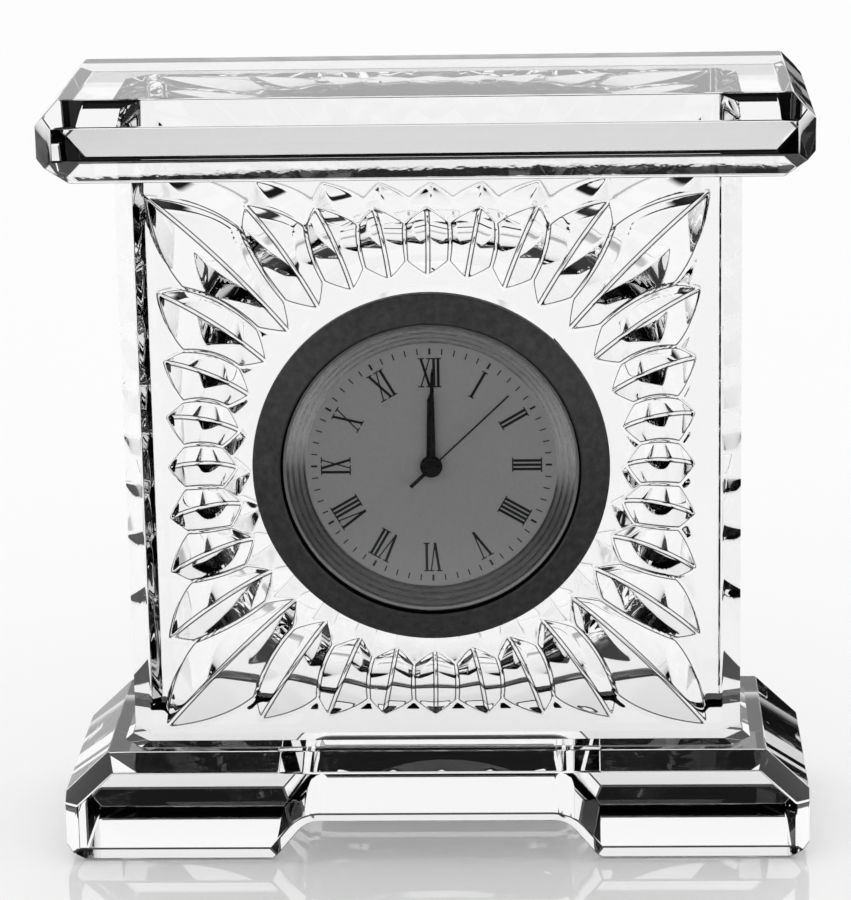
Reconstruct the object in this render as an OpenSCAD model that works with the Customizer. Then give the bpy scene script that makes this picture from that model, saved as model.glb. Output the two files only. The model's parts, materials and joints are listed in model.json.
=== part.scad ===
// Crystal desk clock with a quartz insert that pulls out of the crystal towards the front.
// Millimetres. X is to the right, the dial faces -Y, Z is up and the feet stand at z = 0.

/* [Crystal slabs] */
// Width of the cap and of the base
slab_w = 106; // [96:1:116]
// Depth of the cap and of the base
slab_d = 39; // [36:0.5:46]
// Overall height
total_h = 110; // [106:1:118]
// Height of the cap
cap_h = 11.9; // [10.5:0.1:14]
// Height of the cap's upper bevel
cap_top_bevel_h = 3.4; // [1.5:0.1:4]
// Width of the cap's upper bevel, seen from above
cap_top_bevel_w = 3.05; // [1.5:0.05:4]
// Height of the cap's lower bevel
cap_low_bevel_h = 3.85; // [2:0.05:4.5]
// Width of the cap's lower bevel, seen from below
cap_low_bevel_w = 4.1; // [2:0.1:5]
// Leg of the cut on the cap's four upright corners
cap_corner = 2.35; // [1:0.05:4]
// Height of the base
base_h = 15.8; // [14:0.1:18]
// Width of the base's sloping shoulder at each end
shoulder_w = 6.2; // [4:0.1:7]
// Height of the base's sloping shoulder
shoulder_h = 5.8; // [4:0.1:7]
// Width of the bevel along the base's upper front and back edges
ledge_bevel_w = 3.5; // [1.5:0.1:4]
// Height of that bevel
ledge_bevel_h = 2.0; // [1:0.1:3]
// Leg of the bevel on the base's upright corners
base_side_bevel = 2.0; // [1:0.1:3]
// Leg of the bevel along the base's lower edges
base_low_bevel = 2.4; // [1:0.1:2.8]

/* [Arch under the base] */
// Clear height of the arch
arch_h = 5.8; // [4.5:0.1:7]
// Width of the arch at the table
arch_w = 46.8; // [38:0.2:54]
// Slope of the arch's sides, in degrees
arch_slope = 50; // [45:1:60]
// Radius of the rounding between the sides and the ceiling
arch_round = 4; // [2:0.5:6]
// Leg of the bevel along the arch's front and back edges
arch_bevel = 1.7; // [0.8:0.1:2]

/* [Body] */
// Width of the body
body_w = 86.8; // [82:0.2:92]
// Depth of the body
body_d = 25.4; // [24.6:0.1:28]
// Width of the bevel on the body's upright corners, seen from the front
body_bevel_w = 2.7; // [1.5:0.1:4]
// Depth of that bevel
body_bevel_d = 3.4; // [2:0.1:4.5]
// Radius of the hollow fillet where the body meets the base
foot_fillet = 1.4; // [0.8:0.1:2]

/* [Mitre cuts] */
// Number of cuts round the dial
cut_count = 32; // [24:8:40]
// Distance of the cuts' inner tips from the dial axis
cut_inner_r = 27.2; // [26:0.1:29]
// Distance of the outer tips from the dial axis, straight up, down and sideways
cut_reach = 36.9; // [35:0.1:39]
// Extra reach of the diagonal cuts into the corners
cut_corner_extra = 2.6; // [0:0.1:3]
// Slope of the cuts' flanks against the face, in degrees
cut_flank = 27; // [18:1:34]
// Width of a cut at its middle, as a share of the spacing there
cut_fill = 1.5; // [0.8:0.02:1.6]

/* [Bore for the insert] */
// Height of the dial axis above the table
dial_z = 56.9; // [55:0.1:59]
// Radius of the blind bore
bore_r = 23; // [22.9:0.05:23.4]
// Depth of the blind bore
bore_depth = 19.4; // [19.2:0.1:20]
// Leg of the chamfer at the bore's mouth
bore_chamfer = 0.5; // [0.3:0.1:1]

/* [Bezel and lens] */
// Outer radius of the bezel
bezel_r = 25; // [24:0.1:26]
// Inner radius of the bezel's lip
lip_r = 21; // [20.8:0.1:21.2]
// Height of the bezel's outer rim above the crystal's face
bezel_rim_h = 1.45; // [1:0.05:1.8]
// Height of the bezel's inner lip above the crystal's face
bezel_lip_h = 3.05; // [2.95:0.05:3.6]
// Thickness of the bezel's lip over the lens
lip_t = 0.45; // [0.3:0.05:0.6]
// Thickness of the lens
lens_t = 1.05; // [0.8:0.05:1.2]
// Thickness of the gasket under the lens
gasket_t = 0.35; // [0.2:0.05:0.5]
// Wall of the bezel's skirt
skirt_t = 0.6; // [0.4:0.05:0.7]
// Length of the skirt behind the crystal's face
skirt_len = 2.9; // [2:0.1:3]

/* [Case] */
// Outer radius of the case tube
tube_r = 21.55; // [21.5:0.05:21.6]
// Wall of the case tube
tube_wall = 0.85; // [0.7:0.05:0.9]
// Length of the case tube behind the crystal's face
tube_len = 16; // [16:0.1:16.2]
// Thickness of the back cover
cover_t = 1.2; // [1:0.05:1.3]
// Thickness of the gasket under the back cover
back_gasket_t = 0.3; // [0.2:0.05:0.4]
// Distance of the grip ring behind the crystal's face
grip_start = 3.2; // [3.1:0.1:4]
// Length of the grip ring
grip_len = 9; // [7:0.5:10]
// Number of ribs on the grip ring
grip_ribs = 5; // [3:1:7]

/* [Dial and hands] */
// Distance of the dial's face behind the crystal's face
dial_depth = 0.45; // [0.3:0.05:0.6]
// Thickness of the dial
dial_t = 0.4; // [0.3:0.05:0.5]
// Visible radius of the dial, inside the sloping ring
dial_view_r = 17.6; // [17:0.1:18.5]
// Length of the hour hand from the axis
hour_hand_len = 10.6; // [8:0.1:12]
// Length of the minute hand from the axis
minute_hand_len = 14.2; // [12:0.1:15]
// Length of the second hand from the axis
second_hand_len = 15.1; // [12:0.1:16]
// Length of the second hand's tail
second_tail_len = 4; // [3:0.1:5]
// Angle of the hour hand from twelve, in degrees
hour_angle = 0.5; // [0:0.5:360]
// Angle of the minute hand from twelve, in degrees
minute_angle = 1.5; // [0:0.5:360]
// Angle of the second hand from twelve, in degrees
second_angle = 46.6; // [0:0.1:360]
// Thickness of each hand
hand_t = 0.16; // [0.1:0.02:0.18]

/* [Movement] */
// Radius of the two movement plates
plate_r = 17; // [16.8:0.1:17.2]
// Thickness of each plate's floor
plate_t = 1; // [0.9:0.05:1.05]
// Room for the motion work between the dial and the front plate's floor
motion_room = 1.5; // [1.45:0.05:1.6]
// Room for the wheels between the two plates
train_room = 4; // [3.95:0.05:4.05]
// Distance of the third wheel's axis from the centre
third_dist = 6.2; // [6.1:0.05:6.4]
// Distance of the intermediate wheel's axis from the centre
inter_dist = 6.3; // [6.2:0.05:6.4]
// Distance of the rotor's axis from the intermediate wheel's axis
rotor_dist = 4; // [3.8:0.05:4.1]
// Distance between the axes of the motion work
motion_dist = 3.6; // [3.5:0.05:3.7]
// Thickness of each wheel
wheel_t = 0.4; // [0.3:0.05:0.45]
// Running clearance round each pivot, tube and stem
run_gap = 0.06; // [0.04:0.01:0.08]
// Radius of the wheel arbors
arbor_r = 0.35; // [0.3:0.05:0.4]
// Radius of the pivots at the ends of the arbors
pivot_r = 0.2; // [0.15:0.05:0.25]
// Radius of the setting stem
stem_r = 0.6; // [0.5:0.05:0.65]

/* [Electrics] */
// Radius of the battery cell
cell_r = 5.8; // [5.6:0.1:5.9]
// Height of the battery cell
cell_h = 5.4; // [5.2:0.1:5.5]
// Distance of the battery cell's axis above the dial axis
cell_up = 6.5; // [6.4:0.1:6.8]
// Thickness of the circuit board
board_t = 0.6; // [0.5:0.05:0.7]
// Wall of the battery holder
holder_wall = 1; // [0.8:0.05:1.1]
// Radius of the battery hatch
hatch_r = 7; // [6.9:0.1:7.1]
// Radius of the setting knob
knob_r = 4.2; // [3.5:0.1:4.4]

/* [Hidden] */

eps = 0.01;
fine = 96;
small = 32;
seat_gap = 0.02;

// Heights in the crystal
cap_z = total_h - cap_h;

// How much wider the bevel is along the shoulders than along the ledge
shoulder_extra = 0.15;

// Centre of the rounding at the arch's right corner
arch_steps = 4;
arch_cx = arch_w / 2 - arch_h / tan(arch_slope) - arch_round * tan(arch_slope / 2);
arch_cz = arch_h - arch_round;

face_y = -body_d / 2;

// Distances along the dial axis, measured forwards from the crystal's front face
lens_front = bezel_lip_h - lip_t;
lens_back = lens_front - lens_t;
tube_front = lens_back - gasket_t;
dial_face = -dial_depth;
dial_back = dial_face - dial_t;
floor_front = dial_back - motion_room;
floor_back = floor_front - plate_t;
rear_front = floor_back - train_room;
rear_back = rear_front - plate_t;
board_back = rear_back - board_t;
tube_back = -tube_len;
cover_front = tube_back - back_gasket_t;
cover_back = cover_front - cover_t;

// Radii round the dial axis
tube_in_r = tube_r - tube_wall;
skirt_in_r = tube_r + seat_gap;
skirt_r = skirt_in_r + skirt_t;
liner_r = tube_in_r - seat_gap;
grip_r = bore_r - 0.05;
shelf_r = plate_r - 1.6;

// Axes of the movement, as [x, y] seen from the front
third_angle = 150;
inter_angle = 30;
motion_angle = 275;
stem_angle = 270;
third_at = polar(third_dist, third_angle);
inter_at = polar(inter_dist, inter_angle);
rotor_at = inter_at + polar(rotor_dist, inter_angle);
minute_at = polar(motion_dist, motion_angle);
stem_at = minute_at + polar(motion_dist, stem_angle);

// Teeth
centre_teeth = 64;
third_teeth = 60;
seconds_teeth = 60;
inter_teeth = 40;
rotor_teeth = 10;
leaf_teeth = 8;
cannon_teeth = 12;
minute_teeth = 36;
minute_leaves = 10;
hour_teeth = 40;
stem_teeth = 12;

// Levels of the wheels between the plates, as the middle of each wheel
centre_level = floor_back - 0.45;
third_level = centre_level - 0.9;
seconds_level = third_level - 0.9;
inter_level = seconds_level - 0.9;
minute_level = floor_front + 0.4;
hour_level = minute_level + 0.6;

// Tubes on the centre axis
second_arbor_r = arbor_r;
minute_bore_r = second_arbor_r + run_gap;
minute_tube_r = minute_bore_r + 0.29;
hour_bore_r = minute_tube_r + run_gap;
hour_tube_r = hour_bore_r + 0.35;

// Heights of the hands above the dial's face
hour_hand_z = dial_face + 0.5;
minute_hand_z = hour_hand_z + 0.45;
second_hand_z = minute_hand_z + 0.42;

// Screws: distance from the axis and directions
screw_ring_r = 14;
plate_screw_angles = [180, 270, 0];
plate_shank_r = 0.38;
cover_screw_r = (plate_r + liner_r) / 2;
cover_screw_angles = [30, 150, 270];
cover_shank_r = 0.48;
cover_head_r = 1.2;
head_sink = 0.6;
plate_screw_len = 3;

// Motor
magnet_r = 1.5;
stator_level = third_level - 0.25;
stator_t = 0.5;
coil_y = 12.9;
coil_left = -4.6;
coil_right = 8.2;
coil_r = 1.5;
coil_end = 1.6;
core_w = 1.1;
core_low = stator_level - stator_t / 2 - core_w;

// Back of the case
spacer_lip = 1.1;
knob_t = 1.3;
knob_gap = 0.15;
knob_back = cover_back - knob_gap - knob_t;
cell_room = 0.65;
strip_w = 1.8;
strip_t = 0.2;
slot_w = strip_w + 0.6;
cell_back = board_back - cell_room - cell_h;
hatch_gap = 0.1;
lug_angles = [60, 240];
lug_turn = -60;
lug_reach = 0.9;
lug_half = 12;

function polar(r, a) = [r * cos(a), r * sin(a)];
function pitch_r(dist, own, other) = dist * own / (own + other);

// Places its children on the dial axis: local z runs forwards from the crystal's front face
module at_dial() {
    translate([0, face_y, dial_z]) rotate([90, 0, 0]) children();
}

// A disc or ring between two heights on the dial axis
module ring(outer_r, inner_r, low, high, sides = fine) {
    translate([0, 0, low]) linear_extrude(high - low) difference() {
        circle(r = outer_r, $fn = sides);
        if (inner_r > 0) circle(r = inner_r, $fn = sides);
    }
}

// A rod between two heights
module rod(r, low, high, sides = small) {
    translate([0, 0, low]) cylinder(r = r, h = high - low, $fn = sides);
}

// Flat gear. The teeth are slimmer and shorter than their pitch, which leaves working clearance.
module gear(teeth, pitch_radius, low, high, turn = 0) {
    step = 360 / teeth;
    tooth = PI * pitch_radius / teeth;
    tip_r = pitch_radius + 0.5 * tooth;
    root_r = pitch_radius - 0.75 * tooth;
    outline = [for (i = [0 : teeth - 1], p = [[root_r, -0.25], [tip_r, -0.1], [tip_r, 0.1], [root_r, 0.25]])
        polar(p[0], turn + (i + p[1]) * step)];
    translate([0, 0, low]) linear_extrude(high - low) polygon(outline);
}

// Turn of a gear that sets a gap between two teeth in the direction a
function gap_towards(a, teeth) = a + 180 / teeth;

// Slab with bevels along its upper and lower edges and cuts on its upright corners
module bevelled_slab(w, d, h, top_w, top_h, low_w, low_h, corner) {
    front = [[-w / 2 + low_w, 0], [w / 2 - low_w, 0], [w / 2, low_h], [w / 2, h - top_h],
        [w / 2 - top_w, h], [-w / 2 + top_w, h], [-w / 2, h - top_h], [-w / 2, low_h]];
    side = [[-d / 2 + low_w, 0], [d / 2 - low_w, 0], [d / 2, low_h], [d / 2, h - top_h],
        [d / 2 - top_w, h], [-d / 2 + top_w, h], [-d / 2, h - top_h], [-d / 2, low_h]];
    plan = [[-w / 2 + corner, -d / 2], [w / 2 - corner, -d / 2], [w / 2, -d / 2 + corner],
        [w / 2, d / 2 - corner], [w / 2 - corner, d / 2], [-w / 2 + corner, d / 2],
        [-w / 2, d / 2 - corner], [-w / 2, -d / 2 + corner]];
    intersection() {
        translate([0, d / 2 + 1, 0]) rotate([90, 0, 0]) linear_extrude(d + 2) polygon(front);
        translate([-w / 2 - 1, 0, 0]) rotate([90, 0, 90]) linear_extrude(w + 2) polygon(side);
        translate([0, 0, -1]) linear_extrude(h + 2) polygon(plan);
    }
}

module cap_slab() {
    translate([0, 0, cap_z]) bevelled_slab(slab_w, slab_d, cap_h, cap_top_bevel_w, cap_top_bevel_h,
        cap_low_bevel_w, cap_low_bevel_h, cap_corner);
}

module base_slab() {
    half = slab_w / 2;
    edge = slab_d / 2;
    front = [[-half + base_low_bevel, 0], [half - base_low_bevel, 0], [half, base_low_bevel],
        [half, base_h + 1], [-half, base_h + 1], [-half, base_low_bevel]];
    side = [[-edge + base_low_bevel, 0], [edge - base_low_bevel, 0], [edge, base_low_bevel],
        [edge, base_h + 1], [-edge, base_h + 1], [-edge, base_low_bevel]];
    plan = [[-half + base_side_bevel, -edge], [half - base_side_bevel, -edge],
        [half, -edge + base_side_bevel], [half, edge - base_side_bevel],
        [half - base_side_bevel, edge], [-half + base_side_bevel, edge],
        [-half, edge - base_side_bevel], [-half, -edge + base_side_bevel]];
    slope = atan2(shoulder_h, shoulder_w);
    difference() {
        intersection() {
            translate([0, edge + 1, 0]) rotate([90, 0, 0]) linear_extrude(slab_d + 2) polygon(front);
            translate([-half - 1, 0, 0]) rotate([90, 0, 90]) linear_extrude(slab_w + 2) polygon(side);
            translate([0, 0, -1]) linear_extrude(base_h + 3) polygon(plan);
            translate([0, 0, base_h]) edge_prism(0);
            translate([half - shoulder_w, 0, base_h]) rotate([0, slope, 0]) edge_prism(shoulder_extra);
            translate([-half + shoulder_w, 0, base_h]) rotate([0, -slope, 0]) edge_prism(shoulder_extra);
        }
        arch();
    }
}

// Long bar under local z = 0 whose front and back edges carry the ledge's bevel, wider by more
module edge_prism(more) {
    edge = slab_d / 2;
    reach = 2 * slab_w;
    w = ledge_bevel_w + more;
    h = ledge_bevel_h + more;
    rotate([90, 0, 90]) linear_extrude(2 * reach, center = true) polygon([[-edge, -reach], [edge, -reach],
        [edge, -h], [edge - w, 0], [-edge + w, 0], [-edge, -h]]);
}

// Passage between the feet, from front to back, with bevelled front and back edges
module arch() {
    translate([0, slab_d / 2 + 1, 0]) rotate([90, 0, 0]) linear_extrude(slab_d + 2) arch_outline();
    for (turn = [0, 180]) rotate([0, 0, turn]) arch_mouth();
}

// Outline of the passage, with rounded corners under the ceiling
module arch_outline() {
    foot_x = arch_w / 2 + 1 / tan(arch_slope);
    right = [for (i = [0 : arch_steps]) let (t = arch_slope * (1 - i / arch_steps))
        [arch_cx + arch_round * sin(t), arch_cz + arch_round * cos(t)]];
    left = [for (i = [0 : arch_steps]) let (t = arch_slope * i / arch_steps)
        [-arch_cx - arch_round * sin(t), arch_cz + arch_round * cos(t)]];
    polygon(concat([[foot_x, -1]], right, left, [[-foot_x, -1]]));
}

// Bevel at the passage's front mouth, bounded by one sloping plane for each side of its outline
module arch_mouth() {
    half_step = arch_slope / (2 * arch_steps);
    over = 1;
    planes = concat([[1, 0, arch_round], [1, arch_slope, arch_round], [-1, arch_slope, arch_round]],
        [for (side = [-1, 1], i = [0 : arch_steps - 1])
            [side, (2 * i + 1) * half_step, arch_round * cos(half_step)]]);
    intersection_for (p = planes) translate([p[0] * arch_cx, arch_bevel - slab_d / 2, arch_cz])
        rotate([0, p[0] * p[1], 0]) rotate([90, 0, 90]) linear_extrude(2 * slab_w, center = true)
            polygon([[over, -slab_w], [over, p[2] - over], [-arch_bevel - over, p[2] + arch_bevel + over],
                [-arch_bevel - over, -slab_w]]);
}

// Distance of a cut's outer tip from the dial axis, in the direction a
function cut_outer_r(a) =
    let (lean = max(abs(cos(a)), abs(sin(a))), corner = (1 - lean) / (1 - cos(45)))
    cut_reach / lean + cut_corner_extra * corner * corner;

// One grinding wheel, standing in the face in the direction a, with a sharp rim
module cutting_wheel(a) {
    outer_r = cut_outer_r(a);
    mid_r = (cut_inner_r + outer_r) / 2;
    len = outer_r - cut_inner_r;
    half_w = cut_fill * mid_r * PI / cut_count;
    depth = half_w * tan(cut_flank);
    wheel_r = (len * len / 4 + depth * depth) / (2 * depth);
    drop = min(2 * depth, wheel_r - 0.5);
    wide = drop / tan(cut_flank);
    rotate([0, 0, a]) translate([mid_r, 0, wheel_r - depth]) rotate([90, 0, 0])
        rotate_extrude($fn = fine) polygon([[0, -wide], [wheel_r - drop, -wide],
            [wheel_r, 0], [wheel_r - drop, wide], [0, wide]]);
}

// Plan of the body, grown by g on every side
module body_plan(g) {
    w = body_w / 2 + g;
    d = body_d / 2 + g;
    polygon([[-w + body_bevel_w, -d], [w - body_bevel_w, -d], [w, -d + body_bevel_d],
        [w, d - body_bevel_d], [w - body_bevel_w, d], [-w + body_bevel_w, d],
        [-w, d - body_bevel_d], [-w, -d + body_bevel_d]]);
}

// Body between the slabs, sunk a little into both, with the same cuts in its front and its back
module body_block() {
    sink = 0.5;
    difference() {
        translate([0, 0, base_h - sink]) linear_extrude(cap_z - base_h + 2 * sink) body_plan(0);
        for (turn = [0, 180]) rotate([0, 0, turn]) at_dial()
            for (i = [0 : cut_count - 1]) cutting_wheel(i * 360 / cut_count);
    }
}

// Hollow fillet at the body's foot, as two sloping collars
module foot_collar() {
    knee = 0.3 * foot_fillet;
    thin = 0.2;
    for (step = [[foot_fillet, -thin, knee, knee], [knee, knee - thin, 0, foot_fillet]]) hull() {
        translate([0, 0, base_h + step[1]]) linear_extrude(thin) body_plan(step[0]);
        translate([0, 0, base_h + step[3]]) linear_extrude(thin) body_plan(step[2]);
    }
}

module crystal_block() {
    color([0.93, 0.95, 0.96, 0.4]) difference() {
        union() {
            base_slab();
            foot_collar();
            body_block();
            cap_slab();
        }
        at_dial() rod(bore_r, -bore_depth, 30, fine);
        at_dial() translate([0, 0, -bore_chamfer])
            cylinder(r1 = bore_r, r2 = bore_r + bore_chamfer + 1, h = bore_chamfer + 1, $fn = fine);
    }
}

module bezel() {
    profile = [[lip_r, lens_front], [skirt_in_r, lens_front], [skirt_in_r, -skirt_len],
        [skirt_r, -skirt_len], [skirt_r, 0], [bezel_r - 0.15, 0], [bezel_r, 0.15],
        [bezel_r, bezel_rim_h - 0.2], [bezel_r - 0.2, bezel_rim_h],
        [bezel_r - 1.1, bezel_rim_h + 0.42], [lip_r + 0.25, bezel_lip_h], [lip_r, bezel_lip_h - 0.2]];
    color("dimgray") at_dial() rotate_extrude($fn = fine) polygon(profile);
}

module lens() {
    color([0.9, 0.95, 1, 0.3]) at_dial() ring(skirt_in_r - 0.05, 0, lens_back, lens_front);
}

module lens_gasket() {
    color("black") at_dial() ring(tube_r - 0.05, tube_in_r, tube_front, lens_back);
}

module flange_ring() {
    top = tube_front + 0.1;
    profile = [[dial_view_r, dial_face], [liner_r, dial_face], [liner_r, top], [liner_r - 0.4, top]];
    color("silver") at_dial() rotate_extrude($fn = fine) polygon(profile);
}

module dial() {
    color("lightgray") at_dial() ring(liner_r, hour_tube_r + 0.15, dial_back, dial_face);
}

// Pointed blade that runs from the hub to its tip
module blade(len, root_w, tip_w, point) {
    polygon([[-root_w / 2, 0], [root_w / 2, 0], [tip_w / 2, len - point], [0.05, len],
        [-0.05, len], [-tip_w / 2, len - point]]);
}

module hand_plate(z, angle) {
    translate([0, 0, z]) rotate([0, 0, -angle]) linear_extrude(hand_t) children();
}

module hour_hand() {
    color("black") at_dial() difference() {
        hand_plate(hour_hand_z, hour_angle) union() {
            circle(r = hour_tube_r + 0.45, $fn = small);
            blade(hour_hand_len, 1.35, 0.95, 0.9);
        }
        rod(hour_tube_r, hour_hand_z - 1, hour_hand_z + 1);
    }
}

module minute_hand() {
    color("black") at_dial() difference() {
        hand_plate(minute_hand_z, minute_angle) union() {
            circle(r = minute_tube_r + 0.5, $fn = small);
            blade(minute_hand_len, 1.05, 0.42, 0.8);
        }
        rod(minute_tube_r, minute_hand_z - 1, minute_hand_z + 1);
    }
}

module second_hand() {
    color("black") at_dial() {
        hand_plate(second_hand_z, second_angle) union() {
            circle(r = 1.35, $fn = small);
            translate([-0.11, 0]) square([0.22, second_hand_len]);
            translate([-0.25, -second_tail_len]) square([0.5, second_tail_len]);
        }
        rod(0.75, second_hand_z + hand_t - eps, second_hand_z + hand_t + 0.2);
    }
}

// Rubber ring with round ribs that press against the bore
module grip_ring() {
    pitch = grip_len / grip_ribs;
    back = -grip_start - grip_len;
    valley = grip_r - 0.45;
    ribs = [for (i = [0 : grip_ribs - 1], p = [[valley, 0.15], [grip_r, 0.4], [grip_r, 0.6], [valley, 0.85]])
        [p[0], back + (i + p[1]) * pitch]];
    color("#222222") at_dial() rotate_extrude($fn = fine)
        polygon(concat([[tube_r + seat_gap, back], [valley, back]], ribs,
            [[valley, -grip_start], [tube_r + seat_gap, -grip_start]]));
}

module case_tube() {
    color("silver") at_dial() ring(tube_r, tube_in_r, tube_back, tube_front);
}

// Places its children at each screw of a group
module at_screws(r, angles) {
    for (a = angles) translate(polar(r, a)) children();
}

// Spacer inside the tube: its shelf carries the circuit board and the plates
module movement_ring() {
    ring_back = cover_front + spacer_lip;
    color("ivory") at_dial() difference() {
        union() {
            ring(liner_r, plate_r + seat_gap, ring_back, dial_back);
            ring(plate_r + 0.5, shelf_r, board_back - 0.7, board_back);
        }
        at_screws(cover_screw_r, cover_screw_angles)
            rod(cover_shank_r + seat_gap, ring_back - 1, ring_back + 5);
    }
}

// Pivot holes for the wheels between the plates
module pivot_holes(low, high) {
    for (p = [third_at, inter_at, rotor_at]) translate(p) rod(pivot_r + run_gap, low, high);
}

module front_plate() {
    low = floor_back - eps;
    high = floor_front + eps;
    color("gold") at_dial() difference() {
        union() {
            ring(plate_r, screw_ring_r, floor_back, dial_back);
            ring(screw_ring_r + 1, 0, floor_back, floor_front);
            at_screws(screw_ring_r, plate_screw_angles) rod(1.3, rear_front, low + 2 * eps);
            translate(minute_at) rod(pivot_r, floor_front - eps, hour_level + 0.25);
        }
        pivot_holes(low, high);
        rod(minute_tube_r + run_gap, low, high);
        translate(stem_at) rod(stem_r + run_gap, low, high);
        at_screws(screw_ring_r, plate_screw_angles) rod(plate_shank_r + seat_gap, rear_front - 1, floor_back);
    }
}

// Plate behind the train, with two posts that carry the motor's iron
module rear_plate() {
    low = rear_back - eps;
    high = rear_front + eps;
    color("gold") at_dial() difference() {
        union() {
            ring(plate_r, 0, rear_back, rear_front);
            for (x = [coil_left, coil_right]) translate([x, coil_y]) rod(0.5, low + 2 * eps, core_low);
        }
        pivot_holes(low, high);
        rod(pivot_r + run_gap, low, high);
        translate(stem_at) rod(stem_r + run_gap, low, high);
        at_screws(screw_ring_r, plate_screw_angles) rod(plate_shank_r + 2 * seat_gap, low, high);
    }
}

// Arbor between the plates with a pivot at each end
module arbor(at) {
    shake = 0.1;
    translate(at) rod(arbor_r, rear_front + shake, floor_back - shake);
    translate(at) rod(pivot_r, rear_back + shake, floor_front - shake);
}

module centre_wheel() {
    wheel_r = pitch_r(third_dist, centre_teeth, leaf_teeth);
    cannon_r = pitch_r(motion_dist, cannon_teeth, minute_teeth);
    low = centre_level - wheel_t / 2;
    color("goldenrod") at_dial() difference() {
        union() {
            gear(centre_teeth, wheel_r, low, low + wheel_t, gap_towards(third_angle, centre_teeth));
            rod(minute_tube_r, low, minute_hand_z + hand_t + 0.1);
            gear(cannon_teeth, cannon_r, minute_level - wheel_t / 2, minute_level + wheel_t / 2,
                motion_angle);
        }
        rod(minute_bore_r, low - eps, minute_hand_z + 1);
    }
}

module seconds_wheel() {
    wheel_r = pitch_r(inter_dist, seconds_teeth, leaf_teeth);
    leaf_r = pitch_r(third_dist, leaf_teeth, third_teeth);
    color("goldenrod") at_dial() union() {
        gear(seconds_teeth, wheel_r, seconds_level - wheel_t / 2, seconds_level + wheel_t / 2,
            gap_towards(inter_angle, seconds_teeth));
        gear(leaf_teeth, leaf_r, third_level - 0.3, third_level + 0.3, third_angle);
        rod(second_arbor_r, rear_front + 0.1, second_hand_z);
        rod(pivot_r, rear_back + 0.1, rear_front + 0.2);
    }
}

module third_wheel() {
    wheel_r = pitch_r(third_dist, third_teeth, leaf_teeth);
    leaf_r = pitch_r(third_dist, leaf_teeth, centre_teeth);
    back = third_angle + 180;
    color("goldenrod") at_dial() union() {
        translate(third_at) gear(third_teeth, wheel_r, third_level - wheel_t / 2,
            third_level + wheel_t / 2, gap_towards(back, third_teeth));
        translate(third_at) gear(leaf_teeth, leaf_r, centre_level - 0.3, centre_level + 0.3,
            back);
        arbor(third_at);
    }
}

module intermediate_wheel() {
    wheel_r = pitch_r(rotor_dist, inter_teeth, rotor_teeth);
    leaf_r = pitch_r(inter_dist, leaf_teeth, seconds_teeth);
    color("goldenrod") at_dial() union() {
        translate(inter_at) gear(inter_teeth, wheel_r, inter_level - wheel_t / 2,
            inter_level + wheel_t / 2, gap_towards(inter_angle, inter_teeth));
        translate(inter_at) gear(leaf_teeth, leaf_r, seconds_level - 0.3, seconds_level + 0.3,
            inter_angle + 180);
        arbor(inter_at);
    }
}

module rotor() {
    leaf_r = pitch_r(rotor_dist, rotor_teeth, inter_teeth);
    color("darkslategray") at_dial() union() {
        translate(rotor_at) gear(rotor_teeth, leaf_r, inter_level - 0.3, inter_level + 0.3,
            inter_angle + 180);
        translate(rotor_at) rod(magnet_r, stator_level - 0.55, stator_level + 0.55);
        arbor(rotor_at);
    }
}

module minute_wheel() {
    wheel_r = pitch_r(motion_dist, minute_teeth, cannon_teeth);
    leaf_r = pitch_r(motion_dist, minute_leaves, hour_teeth);
    back = motion_angle + 180;
    color("goldenrod") at_dial() translate(minute_at) difference() {
        union() {
            gear(minute_teeth, wheel_r, minute_level - wheel_t / 2, minute_level + wheel_t / 2,
                gap_towards(back, minute_teeth));
            gear(minute_leaves, leaf_r, minute_level, hour_level + 0.2, back);
        }
        rod(pivot_r + run_gap, minute_level - 1, hour_level + 1);
    }
}

module hour_wheel() {
    wheel_r = pitch_r(motion_dist, hour_teeth, minute_leaves);
    color("goldenrod") at_dial() difference() {
        union() {
            gear(hour_teeth, wheel_r, hour_level - 0.15, hour_level + 0.15,
                gap_towards(motion_angle, hour_teeth));
            rod(hour_tube_r, hour_level - 0.15, hour_hand_z + hand_t + 0.08);
        }
        rod(hour_bore_r, hour_level - 1, hour_hand_z + 1);
    }
}

// Flat iron plate with the rotor's hole and a leg to each end of the coil
module stator() {
    low = stator_level - stator_t / 2;
    ear = core_w / 2 + 0.5;
    color("slategray") at_dial() difference() {
        translate([0, 0, low]) linear_extrude(stator_t) union() {
            translate(rotor_at) circle(r = magnet_r + 1.6, $fn = small);
            polygon([[rotor_at[0] - 2, rotor_at[1] + 2], [rotor_at[0] + 2.4, rotor_at[1] + 1],
                [coil_right + ear, coil_y - ear], [coil_right + ear, coil_y + ear],
                [coil_right - ear, coil_y + ear], [coil_right - ear, coil_y - ear]]);
            polygon([[rotor_at[0] - 2.4, rotor_at[1] + 1.6], [rotor_at[0] - 0.5, rotor_at[1] + 2.6],
                [coil_left + ear, coil_y - ear - 0.6], [coil_left + ear, coil_y + ear],
                [coil_left - ear, coil_y + ear], [coil_left - ear, coil_y - ear - 1.2]]);
        }
        translate(rotor_at) rod(magnet_r + 0.3, low - 1, low + 2);
    }
}

// Bar through the coil, lying on the stator's two legs
module coil_core() {
    color("slategray") at_dial() translate([coil_left - core_w / 2, coil_y - core_w / 2, core_low])
        cube([coil_right - coil_left + core_w, core_w, core_w]);
}

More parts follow.
